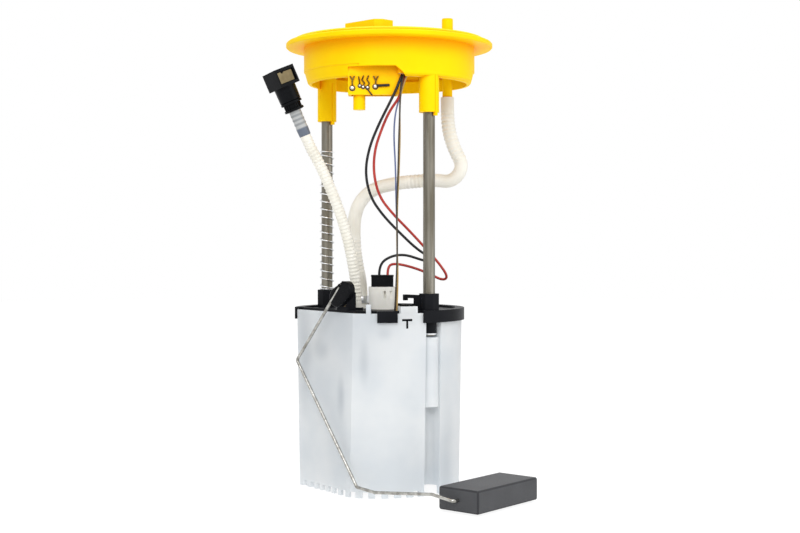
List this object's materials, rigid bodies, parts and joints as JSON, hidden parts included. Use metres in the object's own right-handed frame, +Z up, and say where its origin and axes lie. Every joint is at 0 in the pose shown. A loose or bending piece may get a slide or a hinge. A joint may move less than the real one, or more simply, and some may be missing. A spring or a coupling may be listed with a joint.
{
  "type": "fuel pump module",
  "caption": "In-tank fuel pump module: swirl pot with pump, sliding tank flange on guide rods, level sender with float arm, hoses, wiring and quick connector.",
  "frame": {"origin": "on the swirl pot's axis, in the plane that the pot's foot stands on", "axes": "+Z up through the flange, X through the two guide rods, -Y towards the level sender"},
  "size_m": [0.198, 0.1777, 0.327],
  "materials": {
    "pot_plastic": "translucent moulded plastic",
    "black_plastic": "satin moulded plastic",
    "cream_plastic": "satin moulded plastic",
    "flange_plastic": "satin moulded plastic",
    "hose_plastic": "corrugated fuel hose",
    "sleeve_plastic": "smooth",
    "button_plastic": "satin moulded plastic",
    "rod_steel": "drawn steel",
    "spring_steel": "bright wire",
    "can_steel": "plated",
    "arm_steel": "bright wire",
    "motor_iron": "plain",
    "carbon": "pressed carbon",
    "tinned_brass": "tinned",
    "card": "printed resistor card",
    "rubber": "matt",
    "strainer_cloth": "fine mesh",
    "float_foam": "closed-cell foam",
    "wire_black": "wire insulation",
    "wire_red": "wire insulation",
    "wire_blue": "wire insulation",
    "wire_tan": "wire insulation",
    "wire_brown": "wire insulation"
  },
  "bodies": {
    "pot_body": {"reservoir": "pot_plastic", "vent_cap": "black_plastic", "foot_valve": "rubber", "latch_key": "black_plastic", "reservoir_cover": "black_plastic", "return_spring": "spring_steel", "pump_can": "can_steel", "pump_inlet_cap": "cream_plastic", "pump_end_cap": "cream_plastic", "motor_magnets": "motor_iron", "motor_brushes": "carbon", "pump_plug": "black_plastic", "pump_holder": "pot_plastic", "isolator_lower": "rubber", "isolator_upper": "rubber", "suction_strainer": "strainer_cloth", "jet_pump": "black_plastic", "transfer_pipe": "black_plastic", "sender_housing": "black_plastic", "resistor_card": "card", "pivot_pin": "rod_steel", "outlet_hose": "hose_plastic", "transfer_hose": "hose_plastic", "hose_clamp": "spring_steel", "wire_black": "wire_black", "wire_red": "wire_red", "wire_blue": "wire_blue", "wire_tan": "wire_tan", "wire_brown": "wire_brown", "hose_sleeve": "sleeve_plastic", "quick_connector": "black_plastic", "connector_seals": "rubber"},
    "flange_body": {"flange": "flange_plastic", "flange_terminals": "tinned_brass", "guide_rod_right": "rod_steel", "rod_clip_right": "spring_steel", "guide_rod_left": "rod_steel", "rod_clip_left": "spring_steel"},
    "arm_body": {"arm_holder": "black_plastic", "wiper": "tinned_brass", "float_arm": "arm_steel"},
    "float_body": {"float": "float_foam"},
    "rotor_body": {"armature": "motor_iron", "impeller": "black_plastic"},
    "button_body": {"release_button": "button_plastic"}
  },
  "joints": [
    {"name": "flange_slide", "type": "slide", "parent": "pot_body", "child": "flange_body", "axis": [0, 0, -1], "range_m": [0, 0.07], "deforming": ["return_spring", "outlet_hose", "wire_black", "wire_red", "wire_blue", "wire_tan", "wire_brown"]},
    {"name": "float_arm_hinge", "type": "hinge", "parent": "pot_body", "child": "arm_body", "pos_m": [0.015, -0.05, 0.1325], "axis": [0, -1, 0], "range_deg": [0, 72]},
    {"name": "float_swivel", "type": "hinge", "parent": "arm_body", "child": "float_body", "pos_m": [0.1071, -0.0061, 0.0085], "axis": [-0.0958, 0.9954, 0], "continuous": true},
    {"name": "pump_rotor", "type": "hinge", "parent": "pot_body", "child": "rotor_body", "pos_m": [-0.0105, 0.0022, 0.065], "axis": [0, 0, 1], "continuous": true},
    {"name": "release_button", "type": "slide", "parent": "pot_body", "child": "button_body", "axis": [-0.9748, 0.1661, -0.1487], "range_m": [0, 0.0012], "stiffness_N_per_m": 3000}
  ]
}
